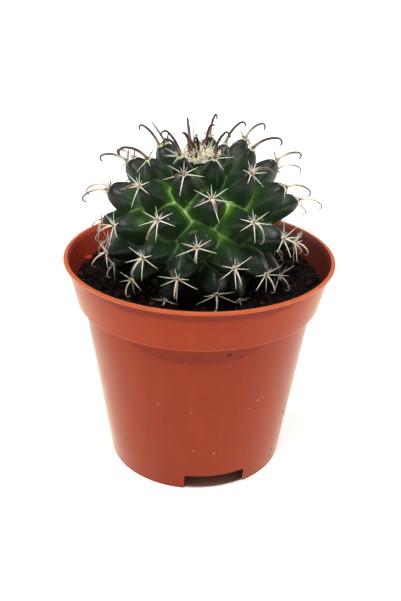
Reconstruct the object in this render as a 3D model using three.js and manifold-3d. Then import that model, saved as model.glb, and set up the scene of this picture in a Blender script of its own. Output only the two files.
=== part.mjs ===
// A round, hook-spined cactus growing in a terracotta-coloured plastic pot.
// Millimetres, +Z up. The origin is the centre of the pot's foot, and -Y is the front.
import * as THREE from "three";
import { mergeVertices } from "three/addons/utils/BufferGeometryUtils.js";
import Module from "manifold-3d";

const wasm = await Module();
wasm.setup();

// Driving dimensions of the pot.
const potHeight = 87;
const lipRadius = 52.5;
const lipHeight = 2.4;
const bandTopRadius = 51;
const bandFootRadius = 47.7;
const bandHeight = 17.4;
const bandUndercut = 1.2;
const wallTopRadius = 45.4;
const footRadius = 35.9;
const wallThickness = 1.4;
const floorHeight = 5.8;
const floorThickness = 1.6;
const ledgeRise = 0.5;
const ledgeDepth = 1.7;
const potSides = 72;

// The foot skirt has three ways out for water, and the floor has drain holes.
const notchCount = 3;
const notchWidth = 23;
const notchHeight = 5.7;
const notchTurn = THREE.MathUtils.degToRad(-78);
const drainCount = 6;
const drainRadius = 3.5;
const drainCircle = 21;
const drainSides = 12;

// Potting mix: its level, its rough top, and the rings that the top is drawn with.
const seatGap = 0.3;
const stemGap = 0.4;
const soilLevel = potHeight - 10.5;
const soilRelief = 0.9;
const soilSides = 48;
const soilRings = [1, 0.93, 0.85, 0.76, 0.66, 0.5, 0.34, 0.17];

// The tips of the tubercles lie on a leaning egg, in a spiral of golden angles that starts at the crown.
const plantCentre = new THREE.Vector3(0.2, -1.1, 99.9);
const leanX = THREE.MathUtils.degToRad(2.5);
const leanY = THREE.MathUtils.degToRad(-4.5);
const tipReach = 38.3;
const crownRise = 33.4;
const baseDrop = 31.1;
const crownDip = 9;
const crownDipAngle = 0.27;
const goldenAngle = THREE.MathUtils.degToRad(137.5077);
const spiralStart = 4.781;
const spiralStep = 0.091;
const spiralPower = 0.773;
const spiralShift = 0.19;
const mostTubercles = 76;
const lowestTip = soilLevel + 2;

// A full-grown tubercle, from its tip down to where it sinks into the core.
const tubercleLength = 13.5;
const tubercleRoot = 5;
const tubercleSpread = 2.62;
const tuberclePower = 0.44;
const tipRounding = 0.2;
const waistShare = 0.5;
const shoulderShare = 0.13;
const upperFlattening = 0.9;
const keelDepth = 1.08;
const cornerTuck = 0.93;

// Towards the crown the tubercles get narrower, shorter and younger.
const youngNarrowing = 0.55;
const narrowingSpan = 5.5;
const youngShortening = 0.75;
const shorteningSpan = 7;
const ageingSpan = 6;

// The core under the tubercles and the neck that goes down among the roots.
const coreRadius = 26.3;
const coreTop = 121.5;
const coreWaist = plantCentre.z - 2;
const coreFootAngle = -1.05;
const coreCrownAngle = 1.3;
const coreSteps = 9;
const coreSides = 20;
const neckRadius = 8;
const neckFoot = 50;
const neckHeight = 14;

// Spines: where each radial spine points, as degrees from straight up, and its length.
const radialSpines = [
  { turn: 0, length: 5.4 },
  { turn: 30, length: 3.2 },
  { turn: 63, length: 6.6 },
  { turn: 108, length: 7.8 },
  { turn: 181, length: 8.2 },
  { turn: 252, length: 7.8 },
  { turn: 297, length: 6.6 },
  { turn: 330, length: 3.2 },
];
const radialLean = THREE.MathUtils.degToRad(20);
const youngRadialSize = 0.55;
const turnSpread = 0.12;
const lengthSpread = 0.14;
const leanSpread = 0.16;
const areoleRadius = 1.15;
const areoleRise = 0.5;

// The hooked central spine of each tubercle.
const hookLength = 13.5;
const hookRadius = 0.4;
const hookTaper = 0.45;
const hookStart = THREE.MathUtils.degToRad(12);
const hookBend = THREE.MathUtils.degToRad(72);
const hookBendPower = 1.3;
const youngHookBend = 0.25;
const youngHookSize = 0.62;
const hookSway = 0.3;
const hookCurl = THREE.MathUtils.degToRad(135);
const hookCurlFrom = 0.8;
const hookLift = THREE.MathUtils.degToRad(14);
const mostLifts = 14;
const stemSteps = 3;
const curlSteps = 3;
const hookSides = 3;
const stubLength = 1.5;
const spineClearance = 1.6;
const spineReach = 46;

const mergeDistance = 1e-4;

// A repeatable draw between -1 and 1 for item n and use k.
function draw(n, k) {
  const s = Math.sin(n * 12.9898 + k * 78.233) * 43758.5453;
  return 2 * (s - Math.floor(s)) - 1;
}

function solidFrom(geometry) {
  const bare = geometry.clone();
  bare.deleteAttribute("normal");
  bare.deleteAttribute("uv");
  const merged = mergeVertices(bare, mergeDistance);
  const solid = new wasm.Manifold(
    new wasm.Mesh({
      numProp: 3,
      vertProperties: merged.attributes.position.array,
      triVerts: new Uint32Array(merged.index.array),
    }),
  );
  if (solid.volume() < 0) throw new Error("a solid is inside out");
  return solid;
}

function meshFrom(name, solid, look) {
  const { vertProperties, triVerts } = solid.getMesh();
  const geometry = new THREE.BufferGeometry();
  geometry.setAttribute("position", new THREE.BufferAttribute(vertProperties, 3));
  geometry.setIndex(new THREE.BufferAttribute(triVerts, 1));
  geometry.computeVertexNormals();
  const mesh = new THREE.Mesh(geometry, new THREE.MeshStandardMaterial(look));
  mesh.name = name;
  return mesh;
}

// A body turned about Z. The profile runs as [radius, height] pairs, upwards on the outside.
function turned(profile, sides) {
  const points = profile.map(([radius, height]) => new THREE.Vector2(radius, height));
  return new THREE.LatheGeometry(points, sides).rotateX(Math.PI / 2);
}

// A straight bar along Z with its lower end at the given height.
function post(radius, length, sides, x, y, z) {
  return new THREE.CylinderGeometry(radius, radius, length, sides)
    .rotateX(Math.PI / 2)
    .translate(x, y, z + length / 2);
}

// The radius of the pot's inner wall at a height.
function innerRadius(height) {
  const ledge = potHeight - bandHeight;
  if (height > ledge) {
    const share = (height - ledge) / bandHeight;
    return bandFootRadius + (bandTopRadius - bandFootRadius) * share - wallThickness;
  }
  return footRadius + (wallTopRadius - footRadius) * (height / ledge) - wallThickness;
}

// The pot's inner face from its floor up to just above its ledge, drawn in by a gap.
function innerFace(gap) {
  const floorTop = floorHeight + floorThickness;
  const ledge = potHeight - bandHeight;
  const ledgeTop = ledge + ledgeRise + ledgeDepth;
  return [
    [innerRadius(floorTop) - gap, floorTop + gap],
    [innerRadius(ledge) - gap, ledge + ledgeRise + gap],
    [innerRadius(ledgeTop) - gap, ledgeTop + 1.2 * gap],
  ];
}

function makePot() {
  const ledge = potHeight - bandHeight;
  const lipFoot = potHeight - lipHeight;
  const floorTop = floorHeight + floorThickness;
  const profile = [
    [0, floorHeight],
    [innerRadius(floorHeight), floorHeight],
    [footRadius - wallThickness, 0],
    [footRadius, 0],
    [wallTopRadius, ledge],
    [bandFootRadius, ledge + bandUndercut / 3],
    [bandFootRadius + 0.2, ledge + bandUndercut],
    [bandTopRadius, lipFoot - 0.4],
    [lipRadius - 0.3, lipFoot],
    [lipRadius, lipFoot + 0.7],
    [lipRadius - 0.1, potHeight - 0.8],
    [lipRadius - 0.9, potHeight - 0.1],
    [lipRadius - 1.8, potHeight],
    [bandTopRadius - wallThickness - 0.1, potHeight - 0.5],
    [innerRadius(potHeight - 2), potHeight - 2],
    ...innerFace(0).reverse(),
    [0, floorTop],
  ];
  let pot = solidFrom(turned(profile, potSides));
  for (let i = 0; i < notchCount; i += 1) {
    const turn = notchTurn + (i * 2 * Math.PI) / notchCount;
    const notch = new THREE.BoxGeometry(footRadius, notchWidth, notchHeight * 2)
      .translate(footRadius, 0, 0)
      .rotateZ(turn);
    pot = pot.subtract(solidFrom(notch));
  }
  const drillDepth = floorThickness * 4;
  const drillFrom = floorHeight - floorThickness;
  for (let i = 0; i < drainCount; i += 1) {
    const turn = notchTurn + ((i + 0.5) * 2 * Math.PI) / drainCount;
    const x = drainCircle * Math.cos(turn);
    const y = drainCircle * Math.sin(turn);
    pot = pot.subtract(solidFrom(post(drainRadius, drillDepth, drainSides, x, y, drillFrom)));
  }
  return pot.subtract(solidFrom(post(drainRadius, drillDepth, drainSides, 0, 0, drillFrom)));
}

// Places tubercle n: the centre of its tip, the way it points, and which way is up on it.
function placeTubercle(n) {
  const order = n - spiralShift;
  const fall = spiralStep * order ** spiralPower;
  const turn = spiralStart + n * goldenAngle;
  const rise = fall < Math.PI / 2 ? crownRise : baseDrop;
  const dip = crownDip * Math.exp(-((fall / crownDipAngle) ** 2));
  const out = new THREE.Vector3(Math.cos(turn), Math.sin(turn), 0);
  const lean = new THREE.Matrix4()
    .makeRotationY(leanY)
    .multiply(new THREE.Matrix4().makeRotationX(leanX));
  const reach = out.clone().multiplyScalar(tipReach * Math.sin(fall));
  reach.z = rise * Math.cos(fall) - dip;
  const axis = out.clone().multiplyScalar(Math.sin(fall) / tipReach);
  axis.z = Math.cos(fall) / rise;
  axis.normalize().add(reach.clone().normalize()).normalize();
  reach.applyMatrix4(lean);
  axis.applyMatrix4(lean);
  const up = out.clone().multiplyScalar(-Math.cos(fall));
  up.z = Math.sin(fall);
  up.applyMatrix4(lean);
  up.addScaledVector(axis, -up.dot(axis)).normalize();
  const side = new THREE.Vector3().crossVectors(up, axis);
  return {
    n,
    tip: reach.add(plantCentre),
    axis,
    up,
    side,
    width: 1 - youngNarrowing * Math.exp(-order / narrowingSpan),
    length: tubercleLength * (1 - youngShortening * Math.exp(-order / shorteningSpan)),
    age: 1 - Math.exp(-order / ageingSpan),
  };
}

// A point near a tubercle's tip, from how far it lies up, sideways and outwards.
function near({ tip, axis, up, side }, upwards, sideways, outwards) {
  return tip
    .clone()
    .addScaledVector(up, upwards)
    .addScaledVector(side, sideways)
    .addScaledVector(axis, outwards);
}

// Joins two rings of corners, the first nearer the root. Rings run clockwise seen from the tip.
function stitch(index, first, second, count) {
  for (let k = 0; k < count; k += 1) {
    const next = (k + 1) % count;
    index.push(first + k, second + k, second + next, first + k, second + next, first + next);
  }
}

// The rings of a tubercle, a round-cornered, four-sided cone with a blunt tip.
function tubercleRings(place, grow) {
  const sides = radialSpines.length;
  const depths = [
    place.length + tubercleRoot,
    place.length * waistShare,
    place.length * shoulderShare,
  ];
  return depths.map((depth) => {
    const spread = tubercleSpread * (depth + tipRounding) ** tuberclePower;
    const radius = spread * place.width + grow;
    return Array.from({ length: sides }, (_, k) => {
      const turn = (k * 2 * Math.PI) / sides;
      const tuck = 1 - (1 - cornerTuck) * Math.abs(Math.sin(2 * turn));
      const stretch = Math.cos(turn) > 0 ? upperFlattening : keelDepth;
      const rise = Math.cos(turn) * radius * tuck * stretch;
      return near(place, rise, Math.sin(turn) * radius * tuck, grow - depth);
    });
  });
}

// A closed solid from corner points and triangles of their numbers.
function solidOf(corners, index) {
  const geometry = new THREE.BufferGeometry();
  const numbers = corners.flatMap((corner) => corner.toArray());
  geometry.setAttribute("position", new THREE.Float32BufferAttribute(numbers, 3));
  geometry.setIndex(index);
  return solidFrom(geometry);
}

// A bare tubercle, a little swollen, to hollow out the soil with.
function makeBareTubercle(place, grow) {
  const rings = tubercleRings(place, grow);
  const sides = rings[0].length;
  const index = [];
  for (let i = 0; i + 1 < rings.length; i += 1) stitch(index, i * sides, (i + 1) * sides, sides);
  const end = (rings.length - 1) * sides;
  for (let k = 1; k + 1 < sides; k += 1) {
    index.push(0, k, k + 1);
    index.push(end, end + k + 1, end + k);
  }
  return solidOf(rings.flat(), index);
}

// The stem inside the tubercles, which narrows to the root neck below the soil.
function makeCore(grow) {
  const profile = [
    [0, neckFoot - grow],
    [neckRadius * 0.6 + grow, neckFoot - grow],
    [neckRadius + grow, neckFoot + 5],
    [neckRadius + 3 + grow, neckFoot + 12],
  ];
  for (let i = 0; i < coreSteps; i += 1) {
    const share = i / (coreSteps - 1);
    const angle = coreFootAngle + share * (coreCrownAngle - coreFootAngle);
    const rise = angle < 0 ? coreWaist - neckFoot - neckHeight : coreTop - coreWaist;
    profile.push([coreRadius * Math.cos(angle) + grow, coreWaist + rise * Math.sin(angle)]);
  }
  profile.push([0, coreTop + grow]);
  const core = turned(profile, coreSides);
  return solidFrom(core.translate(plantCentre.x, plantCentre.y, 0));
}

// Lifts a point clear of the soil and keeps it off the pot's wall.
function clearOfPot(point) {
  point.z = Math.max(point.z, soilLevel + spineClearance);
  const reach = Math.hypot(point.x, point.y);
  if (point.z < potHeight + 1 && reach > spineReach) {
    point.x *= spineReach / reach;
    point.y *= spineReach / reach;
  }
  return point;
}

// The radial spines of one areole: the turn and the tip of each.
function radialTips(place) {
  const size = youngRadialSize + (1 - youngRadialSize) * place.age;
  return radialSpines.map((spine, k) => {
    const turn = THREE.MathUtils.degToRad(spine.turn) + turnSpread * draw(place.n, k);
    const length = spine.length * size * (1 + lengthSpread * draw(place.n, k + 20));
    const lean = radialLean + leanSpread * draw(place.n, k + 40);
    const reach = length * Math.cos(lean);
    const tip = near(place, Math.cos(turn) * reach, Math.sin(turn) * reach, length * Math.sin(lean));
    return { turn, tip: clearOfPot(tip) };
  });
}

// The line of a hooked central spine: it leaves along the tubercle, droops, and curls at its end.
function hookLine(place, droop) {
  const { axis, up, side, n } = place;
  const sway = hookSway * draw(n, 60);
  const down = up.clone().multiplyScalar(-Math.cos(sway)).addScaledVector(side, Math.sin(sway));
  const across = new THREE.Vector3().crossVectors(axis, down);
  const size = youngHookSize + (1 - youngHookSize) * place.age;
  const length = hookLength * size * (1 + 0.12 * draw(n, 61));
  const stations = [{ point: near(place, 0, 0, areoleRise), angle: 0 }];
  const point = stations[0].point.clone();
  for (let i = 0; i < stemSteps + curlSteps; i += 1) {
    const inCurl = i >= stemSteps;
    const step = inCurl ? (1 - hookCurlFrom) / curlSteps : hookCurlFrom / stemSteps;
    const along = inCurl ? hookCurlFrom : (i + 0.5) * step;
    const curl = inCurl ? (hookCurl * (i - stemSteps + 0.8)) / curlSteps : 0;
    const angle = hookStart + droop * along ** hookBendPower + curl;
    point.addScaledVector(axis, Math.cos(angle) * step * length);
    point.addScaledVector(down, Math.sin(angle) * step * length);
    stations.push({ point: point.clone(), angle });
  }
  return { stations, across };
}

function isClear({ stations }) {
  const free = ({ point }) => point.distanceTo(clearOfPot(point.clone())) < 0.05;
  return stations.slice(1).every(free);
}

// The hooked spine that fits above the soil, or a broken stub where none does.
function clearHook(place) {
  const full = hookBend * (youngHookBend + (1 - youngHookBend) * place.age);
  for (let tries = 0; tries < mostLifts; tries += 1) {
    const line = hookLine(place, full - tries * hookLift);
    if (isClear(line)) return line;
  }
  const { stations, across } = hookLine(place, 0);
  const stubEnd = { point: near(place, 0, 0, areoleRise + stubLength), angle: 0 };
  return { stations: [stations[0], stubEnd], across };
}

// A tubercle with its spines: the tip is drawn out into the radial spines, and the hook stands on top.
function makeTubercle(place) {
  const arms = radialTips(place);
  const count = arms.length;
  const turnAfter = (k) => (k + 1 < count ? arms[k + 1].turn : arms[0].turn + 2 * Math.PI);
  const rim = arms.map(({ turn }, k) => {
    const between = (turn + turnAfter(k)) / 2;
    return near(place, Math.cos(between) * areoleRadius, Math.sin(between) * areoleRadius, 0);
  });
  rim.unshift(rim.pop());
  const rings = [...tubercleRings(place, 0), rim];
  const corners = rings.flat();
  const index = [];
  for (let i = 0; i + 1 < rings.length; i += 1) stitch(index, i * count, (i + 1) * count, count);
  for (let k = 1; k + 1 < count; k += 1) index.push(0, k, k + 1);

  const { stations, across } = clearHook(place);
  const last = stations.length - 1;
  const rimStart = (rings.length - 1) * count;
  const armStart = corners.length;
  corners.push(...arms.map(({ tip }) => tip));
  const shaftStart = corners.length;
  stations.slice(0, last).forEach(({ point, angle }, i) => {
    const twist = new THREE.Quaternion().setFromAxisAngle(across, angle);
    const radius = hookRadius * (1 - (hookTaper * i) / last);
    for (let k = 0; k < hookSides; k += 1) {
      const turn = ((k + 0.5) * 2 * Math.PI) / hookSides;
      const out = place.up.clone().multiplyScalar(Math.cos(turn) * radius);
      out.addScaledVector(place.side, Math.sin(turn) * radius).applyQuaternion(twist);
      corners.push(point.clone().add(out));
    }
  });
  corners.push(stations[last].point);
  for (let i = 0; i + 1 < last; i += 1) {
    const ring = shaftStart + hookSides * i;
    stitch(index, ring, ring + hookSides, hookSides);
  }
  const end = shaftStart + hookSides * (last - 1);
  for (let k = 0; k < hookSides; k += 1) {
    index.push(end + k, shaftStart + hookSides * last, end + ((k + 1) % hookSides));
  }

  const footOf = (k) => shaftStart + Math.floor((hookSides * k) / count + 0.01);
  for (let k = 0; k < count; k += 1) {
    const next = (k + 1) % count;
    const before = rimStart + k;
    const after = rimStart + next;
    const arm = armStart + k;
    const foot = footOf(k);
    index.push(foot, after, arm, foot, arm, before, before, arm, after);
    if (foot !== footOf(next)) index.push(foot, footOf(next), after);
  }
  return solidOf(corners, index);
}

// The tubercles that stand clear of the soil, youngest first.
function placeTubercles() {
  const all = Array.from({ length: mostTubercles }, (_, i) => placeTubercle(i + 1));
  return all.filter((place) => place.tip.z > lowestTip);
}

function makeCactus(places) {
  return wasm.Manifold.union([makeCore(0), ...places.map(makeTubercle)]);
}

// How far the rough top of the soil lies above or below its level at a place, from -1 to 1.
function soilSwell(x, y) {
  const broad = Math.sin(0.31 * x + 1.3) * Math.cos(0.27 * y);
  const fine = Math.sin(0.72 * x - 0.58 * y);
  return (broad + 0.6 * fine) / 1.6;
}

// The potting mix fills the pot up to a rough top and is hollowed out round the buried stem.
function makeSoil(places) {
  const rim = innerRadius(soilLevel) - seatGap - 0.2;
  const top = soilRings.map((share) => [rim * share, soilLevel]);
  const foot = [0, floorHeight + floorThickness + seatGap];
  const geometry = turned([foot, ...innerFace(seatGap), ...top, [0, soilLevel]], soilSides);
  const position = geometry.attributes.position;
  for (let i = 0; i < position.count; i += 1) {
    if (position.getZ(i) < soilLevel - 0.1) continue;
    const swell = soilSwell(position.getX(i), position.getY(i));
    position.setZ(i, soilLevel + soilRelief * swell);
  }
  const buried = places.filter((place) => place.tip.z < soilLevel + tubercleLength);
  const stem = [makeCore(stemGap), ...buried.map((place) => makeBareTubercle(place, stemGap))];
  return solidFrom(geometry).subtract(wasm.Manifold.union(stem));
}

const places = placeTubercles();
const object = new THREE.Group();
object.name = "potted_cactus";
object.add(
  meshFrom("pot", makePot(), { color: 0xb4502f, roughness: 0.5, metalness: 0 }),
  meshFrom("soil", makeSoil(places), { color: 0x1c1411, roughness: 1, metalness: 0 }),
  meshFrom("cactus", makeCactus(places), { color: 0x1f4a2a, roughness: 0.4, metalness: 0 }),
);
export default object;
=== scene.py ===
import math
import random

import bmesh
import bpy
import numpy as np
from mathutils import Euler, Matrix, Vector, noise


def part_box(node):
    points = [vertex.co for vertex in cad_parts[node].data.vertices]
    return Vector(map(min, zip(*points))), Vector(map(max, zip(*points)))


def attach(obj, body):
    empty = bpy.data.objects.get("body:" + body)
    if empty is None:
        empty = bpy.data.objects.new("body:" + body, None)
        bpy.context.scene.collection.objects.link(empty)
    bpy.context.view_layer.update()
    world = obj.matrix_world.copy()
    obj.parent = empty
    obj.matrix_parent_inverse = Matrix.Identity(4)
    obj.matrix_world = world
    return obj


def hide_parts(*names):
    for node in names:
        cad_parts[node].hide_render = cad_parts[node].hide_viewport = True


# A round, hook-spined cactus in a terracotta-coloured plastic pot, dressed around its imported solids.
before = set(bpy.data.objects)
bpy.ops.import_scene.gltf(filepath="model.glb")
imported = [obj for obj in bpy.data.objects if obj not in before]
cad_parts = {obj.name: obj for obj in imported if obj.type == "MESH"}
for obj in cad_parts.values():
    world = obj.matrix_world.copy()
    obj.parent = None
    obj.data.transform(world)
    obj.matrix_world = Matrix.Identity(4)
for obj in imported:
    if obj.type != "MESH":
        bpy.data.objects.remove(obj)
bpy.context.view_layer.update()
print("frame loaded:", ", ".join(sorted(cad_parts)))

metre = 0.001  # everything is modelled in millimetres and brought to metres when it is finished
rootBody = "root"
fullTurn = 2 * math.pi
up = Vector((0, 0, 1))


# Shader sums are written as expressions on sockets.
class Wire:
    def __init__(self, finish, socket):
        self.finish = finish
        self.socket = socket

    def sum(self, operation, first, second):
        return self.finish.node("Math", {"operation": operation}, {0: first, 1: second})

    def __add__(self, other):
        return self.sum("ADD", self, other)

    def __radd__(self, other):
        return self.sum("ADD", other, self)

    def __sub__(self, other):
        return self.sum("SUBTRACT", self, other)

    def __rsub__(self, other):
        return self.sum("SUBTRACT", other, self)

    def __mul__(self, other):
        return self.sum("MULTIPLY", self, other)

    def __rmul__(self, other):
        return self.sum("MULTIPLY", other, self)


# A material on one Principled shader. The constants are set on the shader's own sockets.
class Finish:
    def __init__(self, name, constants):
        self.material = bpy.data.materials.new(name)
        self.material.use_nodes = True
        self.tree = self.material.node_tree
        self.shader = self.tree.nodes["Principled BSDF"]
        for socket, value in constants.items():
            self.shader.inputs[socket].default_value = value

    def node(self, kind, settings, sockets, output=0):
        made = self.tree.nodes.new("ShaderNode" + kind)
        for name, value in settings.items():
            setattr(made, name, value)
        for name, value in sockets.items():
            self.feed(made.inputs[name], value)
        return Wire(self, made.outputs[output])

    def feed(self, socket, value):
        if isinstance(value, Wire):
            self.tree.links.new(value.socket, socket)
        elif isinstance(value, tuple) and len(value) == 3 and socket.type == "RGBA":
            socket.default_value = (*value, 1)
        else:
            socket.default_value = value

    def set(self, **wires):
        for name, value in wires.items():
            self.feed(self.shader.inputs[name.replace("_", " ")], value)

    def place(self, stretch=(1, 1, 1)):
        spot = self.node("TexCoord", {}, {}, "Object")
        return self.node("Mapping", {}, {"Vector": spot, "Scale": stretch})

    def attribute(self, name, output="Fac"):
        return self.node("Attribute", {"attribute_name": name}, {}, output)

    def noise(self, vector, scale, detail=3.0, roughness=0.55):
        sockets = {"Vector": vector, "Scale": scale, "Detail": detail, "Roughness": roughness}
        return self.node("TexNoise", {}, sockets)

    # The part of a place along X, Y or Z, as 0, 1 or 2.
    def part(self, place, k):
        return self.node("SeparateXYZ", {}, {0: place}, k)

    # Runs from 0 at low to 1 at high, with soft ends; low may be the larger one.
    def ramp(self, value, low, high):
        sockets = {"Value": value, "From Min": low, "From Max": high}
        return self.node("MapRange", {"interpolation_type": "SMOOTHSTEP"}, sockets)

    # Patches of noise, from 0 where it is at low to 1 where it is at high.
    def patches(self, place, scale, detail, low, high, roughness=0.55):
        return self.ramp(self.noise(place, scale, detail, roughness), low, high)

    def mix(self, factor, first, second):
        sockets = {0: factor, 6: first, 7: second}
        return self.node("Mix", {"data_type": "RGBA"}, sockets, 2)

    # Lays coats over a colour, each given as its share and the name of its own colour.
    def coats(self, colour, colours, *layers):
        for share, name in layers:
            colour = self.mix(share, colour, colours[name])
        return colour

    def bump(self, height, distance, strength=1.0):
        sockets = {"Height": height, "Distance": distance, "Strength": strength}
        self.set(Normal=self.node("Bump", {}, sockets))


# A repeatable draw between -1 and 1 for item n and use k.
def draw(n, k):
    s = math.sin(n * 12.9898 + k * 78.233) * 43758.5453
    return 2 * (s - math.floor(s)) - 1


# A level direction, turned from east towards north.
def towards(turn):
    return Vector((math.cos(turn), math.sin(turn), 0))


def blendTo(value, low, high):
    share = min(max((value - low) / (high - low), 0), 1)
    return share * share * (3 - 2 * share)


def meshOf(bm, name="blank"):
    mesh = bpy.data.meshes.new(name)
    bm.to_mesh(mesh)
    bm.free()
    return mesh


def linked(name, data):
    made = bpy.data.objects.new(name, data)
    bpy.context.scene.collection.objects.link(made)
    return made


# A bar of radius one, one long on Z, in equal steps: the blank for tubercles, spines, fibres and hairs.
def barBlank(sides, steps):
    bm = bmesh.new()
    bmesh.ops.create_circle(bm, cap_ends=True, segments=sides, radius=1)
    end = next(iter(bm.faces))
    for _ in range(steps):
        grown = bmesh.ops.extrude_face_region(bm, geom=[end])["geom"]
        end = next(item for item in grown if isinstance(item, bmesh.types.BMFace))
        bmesh.ops.translate(bm, verts=end.verts[:], vec=(0, 0, 1 / steps))
    bmesh.ops.recalc_face_normals(bm, faces=bm.faces)
    return meshOf(bm)


def ballBlank(subdivisions):
    bm = bmesh.new()
    bmesh.ops.create_icosphere(bm, subdivisions=subdivisions, radius=1)
    return meshOf(bm)


# Adds one copy of a blank for each item. shape(item, point) gives a point's place and its marks.
def addCopies(bm, blank, items, shape, marks=()):
    count = len(blank.vertices)
    layers = [bm.verts.layers.float.get(name) or bm.verts.layers.float.new(name) for name in marks]
    for item in items:
        bm.from_mesh(blank)
        bm.verts.ensure_lookup_table()
        for vert in bm.verts[-count:]:
            vert.co, values = shape(item, vert.co)
            for layer, value in zip(layers, values):
                vert[layer] = value


# Turns an outline of (radius, height) points about Z into a closed body.
def turnedBody(outline, sides):
    bm = bmesh.new()
    verts = [bm.verts.new((radius, 0, height)) for radius, height in outline]
    edges = [bm.edges.new(pair) for pair in zip(verts, verts[1:])]
    geom = verts + edges
    bmesh.ops.spin(
        bm, geom=geom, cent=(0, 0, 0), axis=(0, 0, 1), angle=fullTurn, steps=sides, use_merge=True
    )
    bmesh.ops.remove_doubles(bm, verts=bm.verts, dist=1e-4)
    bmesh.ops.recalc_face_normals(bm, faces=bm.faces)
    return bm


# Rounds the corners of an outline of (radius, height, rounding) corners.
def rounded(outline, steps=5):
    points = []
    for i, (radius, height, rounding) in enumerate(outline):
        corner = Vector((radius, height))
        if rounding == 0:
            points.append(corner)
            continue
        back = (Vector(outline[i - 1][:2]) - corner).normalized()
        ahead = (Vector(outline[i + 1][:2]) - corner).normalized()
        half = back.angle(ahead) / 2
        centre = corner + (back + ahead).normalized() * (rounding / math.sin(half))
        first = corner + back * (rounding / math.tan(half)) - centre
        last = corner + ahead * (rounding / math.tan(half)) - centre
        for k in range(steps + 1):
            points.append(centre + first.lerp(last, k / steps).normalized() * rounding)
    return points


# Divides the long runs of an outline, so that boolean cuts and shading stay even.
def divided(points, longest=5.0, hold=0.4):
    made = [points[0]]
    for first, last in zip(points, points[1:]):
        run = (last - first).length
        if run > longest:
            count = math.ceil(run / longest)
            shares = [hold / run] + [k / count for k in range(1, count)] + [1 - hold / run]
            made += [first.lerp(last, share) for share in shares]
        made.append(last)
    return made


# The mesh that an object has after its modifiers. The object is then removed.
def appliedMesh(made):
    seen = made.evaluated_get(bpy.context.evaluated_depsgraph_get())
    mesh = bpy.data.meshes.new_from_object(seen)
    bpy.data.objects.remove(made)
    return mesh


# Brings a mesh to metres, gives it its finish and lets it ride with the pot.
def finishPiece(mesh, name, finish, slot=None, replaced=None, sharpFrom=None):
    mesh.transform(Matrix.Scale(metre, 4))
    mesh.materials.clear()
    mesh.materials.append(finish.material)
    mesh.shade_smooth()
    if sharpFrom:
        mesh.set_sharp_from_angle(angle=math.radians(sharpFrom))
    piece = linked(name, mesh)
    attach(piece, rootBody)
    if replaced:
        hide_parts(replaced)
    mesh.calc_loop_triangles()
    print(f"{name}: {len(mesh.loop_triangles)} triangles")


# Makes one piece of batches of copies, each with its blank, its items and the function that shapes them.
def makeCopies(name, finish, marks, *batches, **more):
    bm = bmesh.new()
    for blank, items, shape in batches:
        addCopies(bm, blank, items, shape, marks)
    finishPiece(meshOf(bm, name), name, finish, **more)


# The camera stands where the photograph was taken from.
camera = {
    "place": (0, -289.1, 205.5),
    "pitch": 0.450,
    "yaw": 0.0034,
    "roll": 0.0255,
    "lens": 47.75,
    "sensor": 36,
    "clipStart": 0.02,
    "clipEnd": 20,
}


def makeCamera():
    data = bpy.data.cameras.new("camera")
    data.lens = camera["lens"]
    data.sensor_width = camera["sensor"]
    data.clip_start = camera["clipStart"]
    data.clip_end = camera["clipEnd"]
    made = linked("camera", data)
    yaw, pitch, roll = camera["yaw"], camera["pitch"], camera["roll"]
    ahead = Vector((math.sin(yaw) * math.cos(pitch), math.cos(yaw) * math.cos(pitch), -math.sin(pitch)))
    right = ahead.cross(up).normalized()
    above = right.cross(ahead)
    turnedRight = math.cos(roll) * right + math.sin(roll) * above
    turnedUp = math.cos(roll) * above - math.sin(roll) * right
    axes = Matrix((turnedRight, turnedUp, -ahead)).transposed().to_4x4()
    made.matrix_world = Matrix.Translation(Vector(camera["place"]) * metre) @ axes
    bpy.context.scene.camera = made


stage = {
    "floorSize": 12.0,
    "floorColour": (0.90, 0.90, 0.90),
    "nearGlow": 0.40,  # the paper is lit through, apart from the part under the pot
    "farGlow": 0.80,
    "glowFrom": 0.16,
    "glowTo": 0.60,
    # painted shade: the floor under the pot, seen through the foot's openings, is darker
    "underPotShade": (0.50, 0.32, 0.25),  # the table under the pot
    "underPotShadeReach": (0.0345, 0.0360),
    "worldColour": (1.0, 0.99, 0.97),
    "worldStrength": 0.33,
    "lights": [  # name, place, what it faces, size, watts, colour
        ("key", (-0.10, -0.36, 1.0), (0, 0, 0.08), 0.28, 6.0, (1.0, 0.985, 0.96)),
        ("overhead", (0.3, 0.3, 1.1), (0, 0, 0.08), 0.8, 2.5, (1.0, 1.0, 1.0)),
        ("leftWindow", (-0.75, 0.2, 0.35), (0, 0, 0.06), 0.55, 4.2, (1.0, 0.97, 0.90)),
        ("rightWindow", (0.75, 0.2, 0.35), (0, 0, 0.06), 0.55, 4.2, (1.0, 0.97, 0.90)),
    ],
}


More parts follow.
